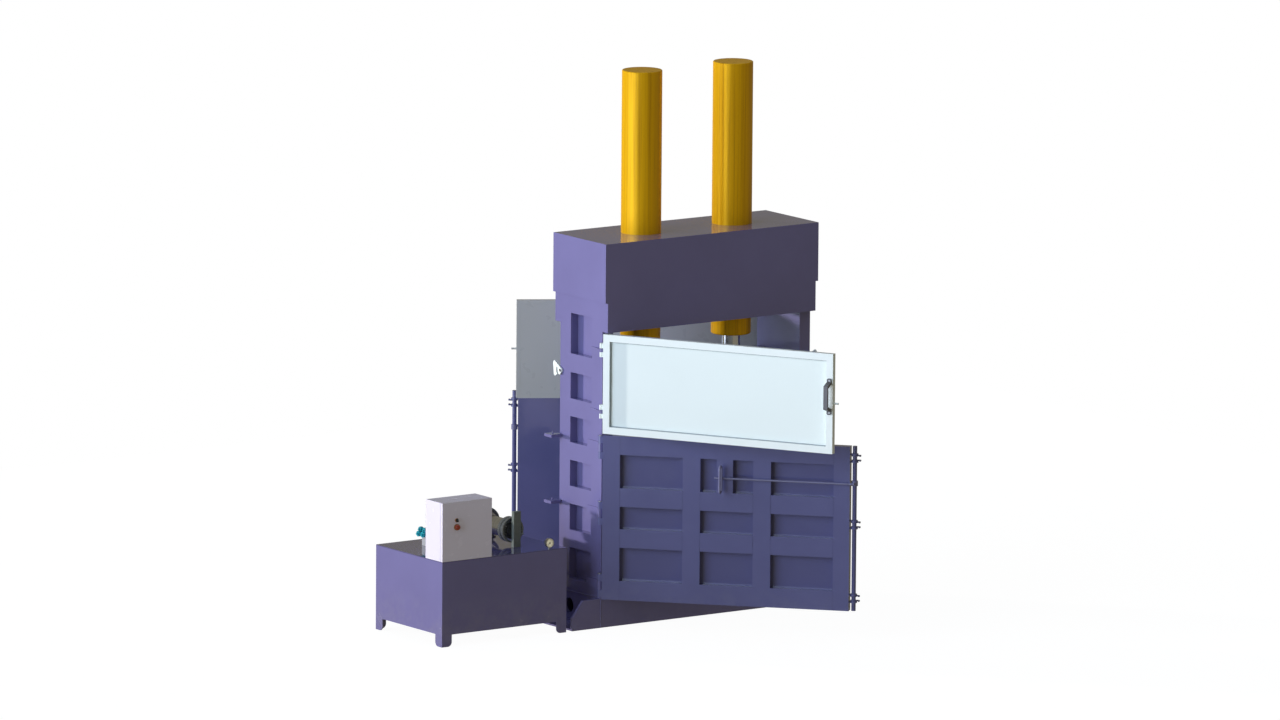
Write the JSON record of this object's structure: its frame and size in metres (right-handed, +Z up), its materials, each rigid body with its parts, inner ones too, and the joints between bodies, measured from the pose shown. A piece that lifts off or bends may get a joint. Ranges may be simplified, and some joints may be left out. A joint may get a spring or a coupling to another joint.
{
  "type": "recycling baler",
  "caption": "Vertical recycling baler with twin cylinders over a platen, front and rear doors on hinges, swing-bar locks and a floor-standing hydraulic power unit.",
  "frame": {"origin": "on the floor under the middle of the press, centred between the side frames and between the doors", "axes": "+X to the right along the chamber, away from the power unit; +Y from the front doors to the rear doors; +Z up"},
  "size_m": [3.25, 3.3094, 3.74],
  "materials": {
    "body": "gloss",
    "dark": "gloss",
    "lower_door": "gloss",
    "upper_door": "gloss",
    "upper_panel": "satin",
    "handle": "satin",
    "cylinder": "gloss",
    "chrome": "polished",
    "steel": "satin",
    "pad": "matte",
    "tank": "gloss",
    "cabinet": "gloss",
    "rubber": "matte",
    "black_plastic": "matte",
    "collar": "gloss",
    "red_plastic": "gloss",
    "motor": "satin",
    "pump": "satin",
    "pump_cover": "gloss",
    "cooler": "satin",
    "manifold": "satin",
    "valve": "satin",
    "dial": "matte"
  },
  "bodies": {
    "frame": {"base_frame": "dark", "outriggers": "dark", "chamber_floor": "dark", "floor_strips": "dark", "side_ladder_left": "body", "side_ladder_right": "body", "side_liners": "body", "crosshead": "body", "crosshead_skirts": "body", "cylinders": "cylinder", "cylinder_glands": "cylinder", "cylinder_bolts": "steel", "upper_hinge_lugs": "body", "hinge_pins": "steel", "lower_hinge_leaves": "body", "lock_keepers": "body", "latch_studs": "steel", "tank": "tank", "tank_lid": "tank", "cabinet": "cabinet", "cabinet_hinges": "steel", "cabinet_seal": "rubber", "cabinet_panel": "steel", "switchgear": "black_plastic", "motor": "motor", "motor_fan_cover": "motor", "motor_terminal_box": "motor", "pump_barrel": "pump", "pump_cover": "pump_cover", "oil_cooler": "cooler", "valve_manifold": "manifold", "solenoid_valves": "valve", "gauge_case": "steel", "gauge_dial": "dial"},
    "platen": {"platen": "body", "platen_strips": "dark", "platen_guides": "pad", "rods": "chrome", "pistons": "steel", "rod_bolts": "steel"},
    "cabinet_door": {"cabinet_door": "cabinet", "control_collars": "collar"},
    "stop_button": {"stop_button": "red_plastic"},
    "selector": {"selector": "black_plastic"},
    "front_upper_door": {"front_upper_frame": "upper_door", "front_upper_panel": "upper_panel", "front_upper_handle": "handle"},
    "front_lower_door": {"front_lower_grid": "lower_door", "front_lower_skin": "lower_door"},
    "front_lock": {"front_lock_bar": "body", "front_lock_lever": "body"},
    "front_latch": {"front_latch": "steel"},
    "rear_upper_door": {"rear_upper_frame": "upper_door", "rear_upper_panel": "upper_panel", "rear_upper_handle": "handle"},
    "rear_lower_door": {"rear_lower_grid": "lower_door", "rear_lower_skin": "lower_door"},
    "rear_lock": {"rear_lock_bar": "body", "rear_lock_lever": "body"},
    "rear_latch": {"rear_latch": "steel"}
  },
  "joints": [
    {"name": "platen_slide", "type": "slide", "parent": "frame", "child": "platen", "axis": [0, 0, -1], "range_m": [0, 1.05]},
    {"name": "front_upper_door_hinge", "type": "hinge", "parent": "frame", "child": "front_upper_door", "pos_m": [-0.882, -0.268, 1.681], "axis": [0, 0, 1], "range_deg": [-74.6, 60.4]},
    {"name": "front_lower_door_hinge", "type": "hinge", "parent": "frame", "child": "front_lower_door", "pos_m": [-0.882, -0.268, 0.771], "axis": [0, 0, 1], "range_deg": [-87.55, 47.45]},
    {"name": "front_lock_turn", "type": "hinge", "parent": "front_lower_door", "child": "front_lock", "pos_m": [0.29257, -1.56532, 0.772], "axis": [0, 0, 1], "range_deg": [0, 70]},
    {"name": "front_latch_lift", "type": "hinge", "parent": "frame", "child": "front_latch", "pos_m": [0.867, -0.229, 1.698], "axis": [-1, 0, 0], "range_deg": [0, 60]},
    {"name": "rear_upper_door_hinge", "type": "hinge", "parent": "frame", "child": "rear_upper_door", "pos_m": [0.882, 0.268, 1.681], "axis": [0, 0, 1], "range_deg": [-103.1, 31.9]},
    {"name": "rear_lower_door_hinge", "type": "hinge", "parent": "frame", "child": "rear_lower_door", "pos_m": [0.882, 0.268, 0.771], "axis": [0, 0, 1], "range_deg": [-92.2, 42.8]},
    {"name": "rear_lock_turn", "type": "hinge", "parent": "rear_lower_door", "child": "rear_lock", "pos_m": [-0.39387, 1.46583, 0.772], "axis": [0, 0, 1], "range_deg": [0, 70]},
    {"name": "rear_latch_lift", "type": "hinge", "parent": "frame", "child": "rear_latch", "pos_m": [-0.867, 0.229, 1.698], "axis": [1, 0, 0], "range_deg": [0, 60]},
    {"name": "cabinet_door_hinge", "type": "hinge", "parent": "frame", "child": "cabinet_door", "pos_m": [-1.752, -0.2275, 0.781], "axis": [0, 0, 1], "range_deg": [0, 110]},
    {"name": "stop_button_press", "type": "slide", "parent": "cabinet_door", "child": "stop_button", "axis": [0, 1, 0], "range_m": [0, 0.004], "stiffness_N_per_m": 900},
    {"name": "selector_turn", "type": "hinge", "parent": "cabinet_door", "child": "selector", "pos_m": [-2.044, -0.262, 0.857], "axis": [0, 1, 0], "range_deg": [-45, 45]}
  ]
}
